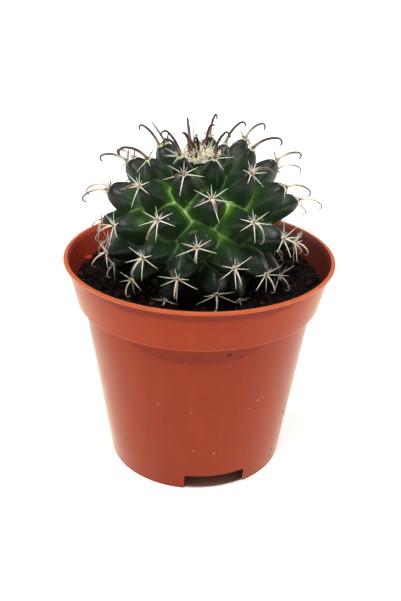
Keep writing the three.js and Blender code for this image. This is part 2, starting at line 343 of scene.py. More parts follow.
def makeStage():
    bm = bmesh.new()
    bmesh.ops.create_grid(bm, x_segments=4, y_segments=4, size=stage["floorSize"] / 2)
    floor = linked("floor", meshOf(bm, "floor"))
    paper = Finish("paperFloor", {"Roughness": 0.9, "Specular IOR Level": 0.1, "Emission Strength": 1})
    spot = paper.place()
    distance = paper.node("VectorMath", {"operation": "LENGTH"}, {0: spot}, "Value")
    far = paper.ramp(distance, stage["glowFrom"], stage["glowTo"])
    nearGlow, farGlow = (stage["nearGlow"],) * 3, (stage["farGlow"],) * 3
    # Painted shade: under the pot the floor neither glows nor keeps its pale colour.
    outside = paper.ramp(distance, *stage["underPotShadeReach"])
    paper.set(Emission_Color=paper.mix(outside, (0, 0, 0), paper.mix(far, nearGlow, farGlow)))
    mottle = paper.patches(spot, 3.0, 3.0, 0.3, 0.7)
    whiter = tuple(min(1.0, value + 0.02) for value in stage["floorColour"])
    bright = paper.mix(mottle, stage["floorColour"], whiter)
    paper.set(Base_Color=paper.mix(outside, stage["underPotShade"], bright))
    floor.data.materials.append(paper.material)

    world = bpy.data.worlds.new("studio")
    bpy.context.scene.world = world
    world.use_nodes = True
    background = world.node_tree.nodes["Background"]
    background.inputs["Color"].default_value = (*stage["worldColour"], 1)
    background.inputs["Strength"].default_value = stage["worldStrength"]

    for name, place, target, size, watts, colour in stage["lights"]:
        data = bpy.data.lights.new(name, "AREA")
        data.shape = "DISK"
        data.size = size
        data.energy = watts
        data.color = colour
        light = linked(name, data)
        facing = (Vector(target) - Vector(place)).to_track_quat("-Z", "Y")
        light.matrix_world = Matrix.Translation(place) @ facing.to_matrix().to_4x4()
    bpy.context.scene.view_settings.view_transform = "Standard"


makeCamera()
makeStage()
print("camera, floor and lights made")


# The pot: as tall and wide as its solid, with a thinner wall, a deeper band and rounded corners.
potLow, potHigh = (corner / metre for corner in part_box("pot"))
pot = {
    "height": potHigh.z,
    "lipRadius": potHigh.x,
    "lipHeight": 1.25,
    "rimWidth": 1.6,
    "bandTop": 51.25,
    "bandFoot": 47.7,
    "bandHeight": 18.0,
    "wallTop": 45.4,
    "foot": 35.9,
    "thickness": 0.8,
    "floor": 5.8,
    "floorThickness": 1.6,
    "sides": 180,
    "notchCount": 3,
    "notchWidth": 24.3,
    "notchHeight": 6.7,
    "notchFrom": 32.3,
    "notchTo": 38.3,
    "notchTurn": math.radians(-76.5),
    "notchRounding": 0.5,
    "sag": 0.35,  # how much lower the rim lies in the middle than at the back
    "tilt": 0.15,
    "stretch": 0.006,
    "shift": 0.2,
    "drainCount": 6,
    "drainRadius": 3.5,
    "drainCircle": 21,
}


def potInner(height):
    ledge = pot["height"] - pot["bandHeight"]
    if height > ledge:
        share = (height - ledge) / pot["bandHeight"]
        return pot["bandFoot"] + (pot["bandTop"] - pot["bandFoot"]) * share - pot["thickness"]
    return pot["foot"] + (pot["wallTop"] - pot["foot"]) * height / ledge - pot["thickness"]


def potOutline():
    top = pot["height"]
    ledge = top - pot["bandHeight"]
    lipFoot = top - pot["lipHeight"]
    lip = pot["lipRadius"]
    floorTop = pot["floor"] + pot["floorThickness"]
    return divided(rounded([
        (0, pot["floor"], 0),
        (potInner(pot["floor"]), pot["floor"], 0.4),
        (pot["foot"] - pot["thickness"], 0, 0.2),
        (pot["foot"], 0, 0.25),
        (pot["wallTop"], ledge + 0.1, 0.5),
        (pot["bandFoot"] + 0.1, ledge + 0.2, 0.4),
        (pot["bandTop"], lipFoot + 0.1, 0.4),
        (lip, lipFoot + 0.3, 0.35),
        (lip, top, 0.5),
        (lip - pot["rimWidth"], top, 0.35),
        (potInner(top - 1.6), top - 1.6, 0.5),
        (potInner(ledge + 2.2), ledge + 2.2, 0.5),
        (potInner(ledge), ledge + 0.5, 0.5),
        (potInner(floorTop), floorTop, 1.0),
        (0, floorTop, 0),
    ]))


# The thin rim sags a little towards the front and the right, and is not quite round.
def sagRim(mesh):
    ledge = pot["height"] - pot["bandHeight"]
    for vert in mesh.vertices:
        share = max(0, (vert.co.z - ledge) / pot["bandHeight"])
        east, north = vert.co.x / pot["lipRadius"], vert.co.y / pot["lipRadius"]
        vert.co.z -= share * (pot["sag"] * (1 - north) + pot["tilt"] * east)
        vert.co.x += share * (pot["stretch"] * vert.co.x + pot["shift"])


# A box with rounded edges, at a reach from the pot's axis and turned round it.
def roundedBox(size, rounding, turn, reach, height):
    bm = bmesh.new()
    bmesh.ops.create_cube(bm, size=1)
    bmesh.ops.scale(bm, verts=bm.verts, vec=size)
    bmesh.ops.bevel(
        bm, geom=bm.edges, offset=rounding, segments=3, profile=0.5, affect="EDGES", material=-1
    )
    move = Matrix.Rotation(turn, 4, "Z") @ Matrix.Translation((reach, 0, height))
    bmesh.ops.transform(bm, verts=bm.verts, matrix=move)
    return bm


# Cutters for the ways out in the foot and the drain holes in the floor.
def potCutters():
    bm = bmesh.new()
    size = (pot["notchTo"] - pot["notchFrom"], pot["notchWidth"], 2 * pot["notchHeight"])
    middle = (pot["notchTo"] + pot["notchFrom"]) / 2
    for i in range(pot["notchCount"]):
        turn = pot["notchTurn"] + i * fullTurn / pot["notchCount"]
        bm.from_mesh(meshOf(roundedBox(size, pot["notchRounding"], turn, middle, 0)))
    holes = [(0, 0)]
    for i in range(pot["drainCount"]):
        turn = pot["notchTurn"] + (i + 0.5) * fullTurn / pot["drainCount"]
        holes.append((pot["drainCircle"] * math.cos(turn), pot["drainCircle"] * math.sin(turn)))
    for x, y in holes:
        move = Matrix.Translation((x, y, pot["floor"] + pot["floorThickness"] / 2))
        radius = pot["drainRadius"]
        bmesh.ops.create_cone(
            bm, cap_ends=True, segments=32, radius1=radius, radius2=radius, depth=6, matrix=move
        )
    return linked("cutters", meshOf(bm, "cutters"))


potColours = {
    "wall": (0.345, 0.0375, 0.0055),
    "deep": (0.318, 0.0325, 0.0045),
    "warm": (0.40, 0.048, 0.010),
    "shade": (0.17, 0.015, 0.005),
    "inside": (0.44, 0.043, 0.020),
    "insideShade": (0.115, 0.024, 0.019),
    # painted shade under the pot's floor
    "under": (0.11, 0.020, 0.010),
    # painted highlight along the band's lower edge
    "edge": (0.50, 0.10, 0.045),
    # painted light: the lip is brighter orange
    "lip": (0.61, 0.122, 0.042),
    "scuff": (0.60, 0.22, 0.12),
    "dust": (0.12, 0.06, 0.04),
}
plasticLook = {
    "Specular IOR Level": 0.16,
    "Sheen Weight": 1.0,
    "Sheen Roughness": 0.28,
    "Sheen Tint": (1.0, 0.95, 0.68, 1),
}


def potFinish():
    plastic = Finish("terracottaPlastic", plasticLook)
    spot = plastic.place()
    drawn = plastic.place((1, 1, 0.25))  # stretched upwards, as the plastic was pulled from its mould
    cloud = plastic.patches(spot, 28, 2.0, 0.3, 0.7)
    streak = plastic.patches(drawn, 160, 3.0, 0.35, 0.75)
    scuff = plastic.patches(plastic.place((1, 1, 0.2)), 900, 2.0, 0.72, 0.82)
    smut = plastic.patches(spot, 310, 4.0, 0.70, 0.78)
    east, north, height = (plastic.part(spot, k) for k in range(3))
    front = plastic.ramp(0 - north, 0.037, 0.0445)
    sag = metre * pot["sag"] * (1 - north * (1 / potHigh.x / metre))
    sag = sag + metre * pot["tilt"] * east * (1 / potHigh.x / metre)
    underBand = (pot["height"] - pot["bandHeight"]) * metre - height  # how far below the band's edge
    underLip = (pot["height"] - pot["lipHeight"]) * metre - height - sag
    # Painted shade: the wall below the band is darker than the band, and painted shadows hang under the
    # band's edge and under the lip, longest at the front.
    lower = plastic.ramp(underBand, -0.001, 0.006)
    bandShadow = plastic.ramp(underBand - 0.0048 * front, 0.0030, 0.0014)
    bandShadow = bandShadow * plastic.ramp(underBand, -0.0001, 0.0001)
    lipShadow = plastic.ramp(underLip - 0.0016 * front, 0.0020, 0.0006)
    # Painted highlight: a pale line along the band's lower edge.
    edge = plastic.ramp(underBand, 0, -0.0002) * plastic.ramp(underBand, -0.0007, -0.0003)
    # Painted light: the lip is painted a brighter orange, for light from above and through the thin plastic.
    lip = plastic.ramp(underLip, 0, -0.0003)
    colour = plastic.coats(
        plastic.mix(cloud, potColours["deep"], potColours["wall"]),
        potColours,
        (streak * 0.3, "warm"),
        (lower * 0.24, "shade"),
        (bandShadow * 0.52 + lipShadow * 0.66, "shade"),
        (edge * 0.75, "edge"),
        (lip * (0.75 + 0.2 * streak), "lip"),
        (scuff * 0.15, "scuff"),
        (smut * 0.25, "dust"),
    )
    grain = plastic.noise(spot, 1500, 2.0)
    plastic.set(Base_Color=colour, Roughness=0.36 + 0.12 * cloud + 0.06 * grain)
    plastic.bump(grain + 0.6 * plastic.noise(spot, 90, 2.0), 0.00004)
    return plastic


# The inside has no sheen. Its colour holds painted shade: darker on the side that the plant shades and under
# the floor.
def insideFinish():
    plastic = Finish("potInside", {"Specular IOR Level": 0.16, "Roughness": 0.45})
    spot = plastic.place()
    cloud = plastic.patches(spot, 90, 3.0, 0.3, 0.7)
    shaded = plastic.ramp(plastic.part(spot, 0), -0.015, 0.035) * 0.8 + cloud * 0.2
    colour = plastic.mix(shaded, potColours["inside"], potColours["insideShade"])
    # Painted shade under the floor.
    under = plastic.ramp(plastic.part(spot, 2), 0.008, 0.0065)
    plastic.set(Base_Color=plastic.mix(under, colour, potColours["under"]))
    return plastic


# The faces that look at the pot's middle, or at the table from under the floor.
def isInside(face):
    middle, facing = face.center / metre, face.normal
    reach = math.hypot(middle.x, middle.y)
    inwards = middle.x * facing.x + middle.y * facing.y < -0.6 * reach
    return inwards or reach < pot["foot"] - 1.2


# Specks on the outside of the wall: how pale, degrees round from the front, height, width and length.
wallMarks = [
    (0.9, -19.4, 42, 0.24, 0.26),
    (0.7, -2, 39.5, 0.20, 0.20),
    (0.7, 29.6, 38.3, 0.22, 0.16),
    (0.8, -0.5, 20.4, 0.24, 0.22),
    (1.0, 11.4, 18.7, 0.30, 0.26),
    (0.5, 7.6, 9.3, 0.20, 0.18),
    (0.9, 34.5, 41.2, 0.72, 0.16),
    (0.0, 15, 65.6, 0.80, 0.40),
    (0.1, 21, 64.3, 0.42, 0.26),
    (0.0, 65, 24.6, 0.40, 0.60),
    (0.1, 64, 19.6, 0.30, 0.30),
    (0.0, 60, 7, 0.42, 0.55),
    (0.0, 58, 5, 0.34, 0.45),
    (0.2, 56, 9, 0.26, 0.28),
    (0.0, 30.6, 84, 0.60, 0.62),
    (0.7, 32, 84.2, 0.40, 0.34),
    (0.2, -29, 67, 0.24, 0.22),
    (0.1, -58, 44, 0.24, 0.28),
    (0.2, 49, 43, 0.22, 0.20),
    (0.3, 33, 46, 0.30, 0.20),
]


def potOuter(height):
    return potInner(height) + pot["thickness"]


def wallPoint(mark, point):
    _, degrees, height, wide, tall = mark
    turn = math.radians(degrees - 90)
    out = towards(turn)
    across = Vector((-out.y, out.x, 0))
    swell = 1 + 0.4 * noise.noise(point * 1.9 + Vector((degrees, height, 0)))
    flat = across * point.x * wide + up * (point.y * tall + 0.35 * point.x * (wide - tall))
    return out * (potOuter(height) + 0.14 * point.z) + up * height + flat * swell, [mark[0]]


def wallCrumbFinish():
    grit = Finish("wallGrit", {"Roughness": 0.8})
    fleck = grit.noise(grit.place(), 1300, 2.0)
    pale = grit.ramp(grit.attribute("shade") + 0.3 * (fleck - 0.5), 0.2, 0.8)
    grit.set(Base_Color=grit.mix(pale, (0.020, 0.006, 0.004), (0.72, 0.30, 0.17)))
    return grit


# A small tab stands on the inner wall, where pots stacked in one another come to rest.
stackingTab = {"turn": math.radians(163), "height": 77.6, "size": (2.6, 3.0, 1.0), "rounding": 0.3}


def makeTab(finish):
    size, rounding, height = stackingTab["size"], stackingTab["rounding"], stackingTab["height"]
    reach = potInner(height) - size[0] / 2 + rounding
    bm = roundedBox(size, rounding, stackingTab["turn"], reach, height)
    finishPiece(meshOf(bm, "stackingTab"), "stackingTab", finish, slot="pot_plastic")


def makePot():
    shell = linked("potShell", meshOf(turnedBody(potOutline(), pot["sides"]), "potShell"))
    cutters = potCutters()
    cut = shell.modifiers.new("openings", "BOOLEAN")
    cut.operation = "DIFFERENCE"
    cut.solver = "EXACT"
    cut.object = cutters
    mesh = appliedMesh(shell)
    bpy.data.objects.remove(cutters)
    sagRim(mesh)
    finishPiece(mesh, "potShell", potFinish(), "pot_plastic", "pot", sharpFrom=38)
    inside = insideFinish()
    mesh.materials.append(inside.material)
    for face in mesh.polygons:
        face.material_index = 1 if isInside(face) else 0
    makeTab(inside)
    makeCopies("wallCrumbs", wallCrumbFinish(), ["shade"], (ballBlank(3), wallMarks, wallPoint))


makePot()


# Potting mix: a rough bed with crumbs, root fibres and chips of bark on it.
soil = {
    "level": pot["height"] - 10.5,
    "relief": 0.9,
    "ringStep": 0.55,
    "innerRing": 14,
    "sides": 270,
    "gap": 0.25,
    "roughness": 1.1,
    "crumbs": 900,
    "fineCrumbs": 2300,
    "chips": 30,
    "fibres": 190,
    "crumbSizes": (0.5, 1.5),
    "fineSizes": (0.25, 0.7),
    "chipSizes": (0.9, 1.9),
    "crumbClearance": 0.6,
    "fibreClearance": 1,
    "seed": 11,
}


def soilHeight(x, y):
    broad = math.sin(0.31 * x + 1.3) * math.cos(0.27 * y)
    fine = math.sin(0.72 * x - 0.58 * y)
    height = soil["level"] + soil["relief"] * (broad + 0.6 * fine) / 1.6
    lump = noise.noise((x * 0.34, y * 0.34, 3.1))
    clod = noise.noise((x * 0.85, y * 0.85, 7.7))
    grit = noise.noise((x * 2.1, y * 2.1, 1.9))
    return height + soil["roughness"] * (0.5 * lump + 0.45 * clod + 0.28 * grit)


def soilBed():
    ledge = pot["height"] - pot["bandHeight"]
    low = pot["floor"] + pot["floorThickness"]
    gap = soil["gap"]
    rim = potInner(soil["level"]) - gap
    outline = [(0, low + gap), (potInner(low) - gap, low + gap)]
    outline += [(potInner(ledge) - gap, ledge + 0.5), (potInner(ledge + 2.2) - gap, ledge + 2.4)]
    rings = int((rim - soil["innerRing"]) / soil["ringStep"])
    outline += [(rim - i * soil["ringStep"], soil["level"]) for i in range(rings)]
    outline += [(soil["innerRing"] / 2, soil["level"]), (0, soil["level"])]
    bm = turnedBody(outline, soil["sides"])
    for vert in bm.verts:
        if vert.co.z > soil["level"] - 0.01:
            vert.co.z = soilHeight(vert.co.x, vert.co.y)
    return bm


# Crumbs and chips lie evenly, except in the middle, where the plant stands.
def scattered(count, sizes, rng):
    low, high = sizes
    reach = potInner(soil["level"]) - soil["crumbClearance"]
    for _ in range(count):
        radius = reach * math.sqrt(rng.uniform(0.12, 1))
        turn = rng.uniform(0, fullTurn)
        size = low + (high - low) * rng.random() ** 2.2
        radius = min(radius, reach - size)
        x, y = radius * math.cos(turn), radius * math.sin(turn)
        yield {
            "centre": Vector((x, y, soilHeight(x, y) + size * rng.uniform(-0.1, 0.45))),
            "turn": Euler([rng.uniform(0, fullTurn) for _ in range(3)]).to_matrix(),
            "size": Vector([size * rng.uniform(0.65, 1.25) for _ in range(3)]),
            "seed": rng.uniform(0, 90),
            "shade": rng.random(),
        }


def crumbPoint(crumb, point):
    swell = 1 + 0.55 * noise.noise(point * 1.7 + Vector((crumb["seed"], 0, 0)))
    return crumb["centre"] + crumb["turn"] @ (point * swell * crumb["size"]), [crumb["shade"]]


def chipPoint(chip, point):
    flat = Vector((point.x * 1.5, point.y * 0.8, point.z * 0.35))
    swell = 1 + 0.3 * noise.noise(point * 2.3 + Vector((chip["seed"], 0, 0)))
    return chip["centre"] + chip["turn"] @ (flat * swell * chip["size"].x), [0.75 + 0.25 * chip["shade"]]


def soilFibres(count, rng):
    reach = potInner(soil["level"]) - soil["fibreClearance"]
    for _ in range(count):
        radius = reach * math.sqrt(rng.uniform(0.2, 1))
        turn = rng.uniform(0, fullTurn)
        x, y = radius * math.cos(turn), radius * math.sin(turn)
        yield {
            "start": Vector((x, y, 0)),
            "heading": rng.uniform(0, fullTurn),
            "bend": rng.uniform(-1.6, 1.6),
            "length": rng.uniform(2.5, 9),
            "radius": rng.uniform(0.07, 0.17),
            "lift": rng.uniform(0.1, 0.9),
            "arch": rng.uniform(0, 1.3),
            "shade": rng.random(),
            "reach": reach,
        }


def fibrePoint(fibre, point):
    along = point.z
    heading = fibre["heading"] + fibre["bend"] * along
    spot = fibre["start"] + towards(heading) * fibre["length"] * along
    radius = math.hypot(spot.x, spot.y)
    if radius > fibre["reach"]:
        spot *= fibre["reach"] / radius
    spot.z = soilHeight(spot.x, spot.y) + fibre["lift"] + fibre["arch"] * math.sin(math.pi * along)
    across = Vector((-math.sin(heading), math.cos(heading), 0))
    thick = fibre["radius"] * (1 - 0.6 * along)
    return spot + across * point.x * thick + up * point.y * thick, [fibre["shade"]]


soilColours = {
    "pit": (0.002, 0.0015, 0.0012),
    "peat": (0.008, 0.0048, 0.0036),
    "crumb": (0.018, 0.010, 0.007),
    "bark": (0.060, 0.026, 0.014),
    "fibre": (0.095, 0.045, 0.027),
}


def soilFinish(name, light, lightShare):
    peat = Finish(name, {"Specular IOR Level": 0.12})
    spot = peat.place()
    patch = peat.patches(spot, 260, 3.0, 0.35, 0.7)
    fleck = peat.patches(spot, 900, 2.0, 0.5, 0.75)
    shade = peat.ramp(peat.attribute("shade"), 1 - lightShare, 1)
    colour = peat.mix(patch, soilColours["pit"], soilColours["peat"])
    colour = peat.coats(colour, soilColours, (fleck * 0.6, "crumb"), (shade, light))
    peat.set(Base_Color=colour, Roughness=0.62 + 0.3 * patch)
    peat.bump(peat.noise(spot, 1700, 3.0), 0.0002, 0.7)
    return peat


def makeSoil():
    rng = random.Random(soil["seed"])
    bed = soilFinish("peatBed", "crumb", 0.1)
    finishPiece(meshOf(soilBed(), "soilBed"), "soilBed", bed, slot="potting_mix", replaced="soil")
    makeCopies(
        "soilCrumbs",
        soilFinish("peatCrumbs", "bark", 0.2),
        ["shade"],
        (ballBlank(2), scattered(soil["crumbs"], soil["crumbSizes"], rng), crumbPoint),
        (ballBlank(1), scattered(soil["fineCrumbs"], soil["fineSizes"], rng), crumbPoint),
        slot="potting_mix",
        sharpFrom=50,
    )
    makeCopies(
        "barkAndFibres",
        soilFinish("barkAndFibre", "fibre", 1.0),
        ["shade"],
        (ballBlank(2), scattered(soil["chips"], soil["chipSizes"], rng), chipPoint),
        (barBlank(5, 7), soilFibres(soil["fibres"], rng), fibrePoint),
        slot="potting_mix",
        sharpFrom=50,
    )


makeSoil()


# The plant. Its tubercles stand on the same spiral as in the solid.
plant = {
    "centre": Vector((0.2, -1.1, 99.9)),
    "leanX": math.radians(2.5),
    "leanY": math.radians(-4.5),
    "tipReach": 38.3,
    "crownRise": 33.4,
    "baseDrop": 31.1,
    "crownDip": 9,
    "crownDipAngle": 0.27,
    "goldenAngle": math.radians(137.5077),
    "spiralStart": 4.781,
    "spiralStep": 0.091,
    "spiralPower": 0.773,
    "spiralShift": 0.19,
    "most": 76,
    "lowestTip": soil["level"] + 2,
    "length": 13.5,
    "root": 5,
    "spread": 2.62,
    "power": 0.405,
    "tipRounding": 0.2,
    "upperFlattening": 0.9,
    "keelDepth": 1.08,
    "cornerTuck": 0.83,
    "sides": 28,
    "depths": [1, 0.85, 0.7, 0.56, 0.44, 0.34, 0.25, 0.18, 0.12, 0.075, 0.04, 0.015, 0],
    "voxel": 0.6,
    "smoothing": 4,
}
core = {
    "radius": 25.2,
    "top": 121.5,
    "waist": 97.9,
    "footAngle": -1.05,
    "crownAngle": 1.3,
    "steps": 12,
    "sides": 48,
    "neckRadius": 8,
    "neckFoot": 50,
    "neckHeight": 14,
}
lean = Matrix.Rotation(plant["leanY"], 3, "Y") @ Matrix.Rotation(plant["leanX"], 3, "X")
nudges = {  # tubercles that grew a little off the spiral: how far sideways, upwards and outwards
    6: (1.3, 0.9, -1.7),
    7: (0, -0.4, -1.2),
    9: (0.5, 0, -1.2),
    11: (0, 0.6, 0.9),
    12: (0, 0, -1.8),
    13: (-0.7, 0.8, 0),
    14: (0, 1.4, 0),
    16: (1.1, 0.7, 0),
    18: (-1.8, 0.8, 0),
    21: (-1.0, 1.2, 0),
    23: (0, 0, 1.4),
    24: (0.6, 0.3, 1.4),
    26: (-1.2, 0.1, 0),
    27: (0, 0.8, -1.2),
    31: (-0.6, -0.3, 0),
    33: (0, 0, 1.4),
    35: (0, 0, -1.5),
    36: (0, 0, -1.0),
    37: (-1.0, -0.9, 0),
    39: (1.8, 0.3, 0),
    40: (0, 1.4, -2.2),
    41: (0, 0, -1.5),
    42: (-1.0, -0.9, 0),
    45: (0, -0.8, -1.2),
    47: (0.6, 1.0, 0),
    48: (0, 0, -2.0),
    50: (-0.4, -0.5, 0),
    52: (1.1, 0.5, 0),
    55: (0.9, -0.5, 0),
    57: (-1.2, 1.5, 0),
    58: (0.9, -1.0, 0),
    60: (0, -1.0, 0),
    63: (0, -2.2, 0),
}
slimmer = {11: 0.92, 27: 0.85, 32: 0.93, 36: 0.86, 40: 0.78, 41: 0.9, 45: 0.76, 48: 0.85, 53: 0.84}


def placeTubercle(n):
    order = n - plant["spiralShift"]
    fall = plant["spiralStep"] * order ** plant["spiralPower"]
    turn = plant["spiralStart"] + n * plant["goldenAngle"]
    rise = plant["crownRise"] if fall < math.pi / 2 else plant["baseDrop"]
    dip = plant["crownDip"] * math.exp(-((fall / plant["crownDipAngle"]) ** 2))
    out = towards(turn)
    reach = out * plant["tipReach"] * math.sin(fall) + up * (rise * math.cos(fall) - dip)
    axis = out * math.sin(fall) / plant["tipReach"] + up * math.cos(fall) / rise
    axis = lean @ (axis.normalized() + reach.normalized()).normalized()
    above = lean @ (up * math.sin(fall) - out * math.cos(fall))
    above = (above - axis * above.dot(axis)).normalized()
    sideways, upwards, outwards = nudges.get(n, (0, 0, 0))
    nudge = above.cross(axis) * sideways + above * upwards + axis * outwards
    return {
        "n": n,
        "tip": lean @ reach + plant["centre"] + nudge,
        "axis": axis,
        "up": above,
        "side": above.cross(axis),
        "width": slimmer.get(n, 1) * (1 - 0.55 * math.exp(-order / 5.5)),
        "length": plant["length"] * (1 - 0.75 * math.exp(-order / 7)),
        "age": 1 - math.exp(-order / 6),
    }


tubercles = [placeTubercle(n) for n in range(1, plant["most"] + 1)]
tubercles = [place for place in tubercles if place["tip"].z > plant["lowestTip"]]


# A point near a tubercle's tip, from how far it lies up, sideways and outwards.
def near(place, upwards, sideways, outwards):
    return place["tip"] + place["up"] * upwards + place["side"] * sideways + place["axis"] * outwards


def tubercleRadius(depth, width):
    return plant["spread"] * (depth + plant["tipRounding"]) ** plant["power"] * width


# How a tubercle's section leaves its circle in one direction: its corners' tuck, and its stretch up or down.
def sectionShape(turn):
    tuck = 1 - (1 - plant["cornerTuck"]) * abs(math.sin(2 * turn))
    return tuck, plant["upperFlattening"] if math.cos(turn) > 0 else plant["keelDepth"]


def tuberclePoint(place, point):
    share = plant["depths"][round(point.z * (len(plant["depths"]) - 1))]
    depth = share * place["length"] + (plant["root"] if share == 1 else 0)
    turn = math.atan2(point.y, point.x)
    tuck, stretch = sectionShape(turn)
    radius = tubercleRadius(depth, place["width"]) * tuck
    return near(place, math.cos(turn) * radius * stretch, math.sin(turn) * radius, -depth), []


def coreOutline():
    foot, radius = core["neckFoot"], core["neckRadius"]
    outline = [(0, foot), (radius * 0.6, foot), (radius, foot + 5), (radius + 3, foot + 12)]
    for i in range(core["steps"]):
        share = i / (core["steps"] - 1)
        angle = core["footAngle"] + share * (core["crownAngle"] - core["footAngle"])
        rise = core["waist"] - foot - core["neckHeight"] if angle < 0 else core["top"] - core["waist"]
        outline.append((core["radius"] * math.cos(angle), core["waist"] + rise * math.sin(angle)))
    return outline + [(0, core["top"])]


farGap = 9.0  # stands for a tubercle that doesn't reach the point
bareGap = 0.8  # beyond it the core shows between the tubercles


# Marks each point of the skin with how deep it lies below a tip and how near it lies to a crease.
def markSkin(mesh):
    points = np.empty(len(mesh.vertices) * 3)
    mesh.vertices.foreach_get("co", points)
    points = points.reshape(-1, 3)
    gaps = np.full((len(tubercles), len(points)), farGap)
    depths = np.zeros_like(gaps)
    turns = np.zeros_like(gaps)
    for k, place in enumerate(tubercles):
        offset = points - np.array(place["tip"])
        depth = -(offset @ np.array(place["axis"]))
        rise = offset @ np.array(place["up"])
        sideways = offset @ np.array(place["side"])
        rise = np.where(rise > 0, rise / plant["upperFlattening"], rise / plant["keelDepth"])
        turn = np.arctan2(sideways, rise)
        tuck = 1 - (1 - plant["cornerTuck"]) * np.abs(np.sin(2 * turn))
        radius = tubercleRadius(np.maximum(depth, 0), place["width"])
        gap = np.hypot(rise, sideways) / tuck - radius
        fits = (depth > -2) & (depth < place["length"] + plant["root"])
        gaps[k] = np.where(fits, gap, farGap)
        depths[k] = depth
        turns[k] = turn
    nearest = np.argsort(gaps, axis=0)[:3]
    columns = np.arange(len(points))
    owner = nearest[0]
    marks = {
        "tipDepth": depths[owner, columns],
        "creaseGap": np.maximum(gaps[nearest[1], columns], 0),
        "meetGap": np.maximum(gaps[nearest[2], columns], 0),
        "order": np.array([place["n"] for place in tubercles])[owner].astype(float),
        "flank": turns[owner, columns],
    }
    marks["creaseGap"][gaps[owner, columns] > bareGap] = 0
    for name, values in marks.items():
        layer = mesh.attributes.new(name, "FLOAT", "POINT")
        layer.data.foreach_set("value", values.astype(np.float32))


skinColours = {
    "night": (0.0055, 0.0100, 0.0050),
    "leaf": (0.010, 0.026, 0.009),
    # painted light: the lighter green of lit upper faces
    "litUpperGreen": (0.016, 0.052, 0.012),
    # painted light: the glowing greens of axils, of the lines where tubercles meet, and of the points where
    # three meet
    "vivid": (0.088, 0.225, 0.022),
    "creaseGlow": (0.46, 0.68, 0.21),
    "axilGlow": (0.78, 0.92, 0.56),
    "dull": (0.008, 0.019, 0.011),
    "cork": (0.18, 0.145, 0.085),
    "scab": (0.024, 0.015, 0.009),
    "dryDot": (0.52, 0.44, 0.30),
    "bloomAndSheen": (0.062, 0.095, 0.062),
    "litPatchGreen": (0.14, 0.29, 0.075),
}


# Creases painted bright for light that shines through the skin, each seen from a tubercle's tip: upwards,
# sideways, size, and how bright each one and the skin around it are.
litCreases = [
    (13, -0.4, -7.0, 2.0, 0.8, 0.8),
    (26, 6.8, -0.8, 2.2, 0.9, 1.0),
    (26, 4.4, 3.8, 2.6, 1.0, 1.0),
    (26, 3.0, 5.4, 2.0, 0.7, 0.8),
    (21, 1.8, -6.0, 2.2, 0.35, 0.8),
    (34, 6.2, -2.0, 2.0, 0.45, 0.1),
    (29, 6.8, -0.2, 2.2, 1.0, 1.0),
    (16, -2.2, -6.0, 2.2, 0.7, 1.0),
    (29, 5.0, -2.8, 2.6, 0.6, 0.8),
    (29, 5.8, 0.0, 2.0, 0.4, 0.7),
    (29, 3.8, 6.4, 2.2, 0.6, 0.8),
    (24, 1.6, -6.0, 2.6, 0.4, 0.7),
    (34, 3.2, 6.0, 2.2, 0.4, 1.0),
    (29, -2.0, -6.6, 2.6, 0.25, 1.0),
    (31, 5.8, 0.6, 2.6, 0.3, 0.7),
]
# Small marks, some of them dots of painted glow, each seen from a tubercle's tip: upwards, sideways, size
# and colour.
skinSpots = [
    (34, 3.8, -2.3, 1.3, "cork"),
    (34, 4.4, -0.8, 1.0, "cork"),
    (34, 2.8, 3.2, 0.9, "cork"),
    (34, 3.2, 0.4, 0.5, "cork"),
    (34, 4.0, 2.4, 0.5, "cork"),
    (21, 0.4, -2.9, 1.3, "bloomAndSheen"),
    (26, 0.6, 2.8, 1.6, "scab"),
    (26, 0.8, 3.0, 0.6, "dryDot"),
    (18, 3.6, 3.0, 0.5, "litPatchGreen"),
    (31, 5.8, 0.6, 0.6, "litPatchGreen"),
    (16, 5.0, 3.2, 0.55, "axilGlow"),
    (29, -4.2, -5.4, 0.5, "litPatchGreen"),
]
# Patches of painted light and painted sheen, given the same way.
litPatches = [
    (31, 2.6, 4.2, 3.2, "litPatchGreen"),
    (29, -1.4, -6.0, 3.4, "litPatchGreen"),
    (31, 0.2, -2.6, 3.0, "bloomAndSheen"),
    (18, -3.0, -2.0, 2.6, "bloomAndSheen"),
]


# A place on the skin of tubercle n, in metres.
def skinPlace(n, upwards, sideways):
    place = next(place for place in tubercles if place["n"] == n)
    tuck, stretch = sectionShape(math.atan2(sideways, upwards))
    across = math.hypot(upwards / stretch, sideways) / tuck / place["width"]
    deep = (across / plant["spread"]) ** (1 / plant["power"]) - plant["tipRounding"]
    return tuple(near(place, upwards, sideways, -min(deep, place["length"])) * metre)


# How much of a spot of this size reaches a point.
def spotShare(skin, spot, centre, size, edge, waver=0):
    away = skin.node("VectorMath", {"operation": "DISTANCE"}, {0: spot, 1: centre}, "Value")
    return skin.ramp(away + waver, size * metre, edge * size * metre)


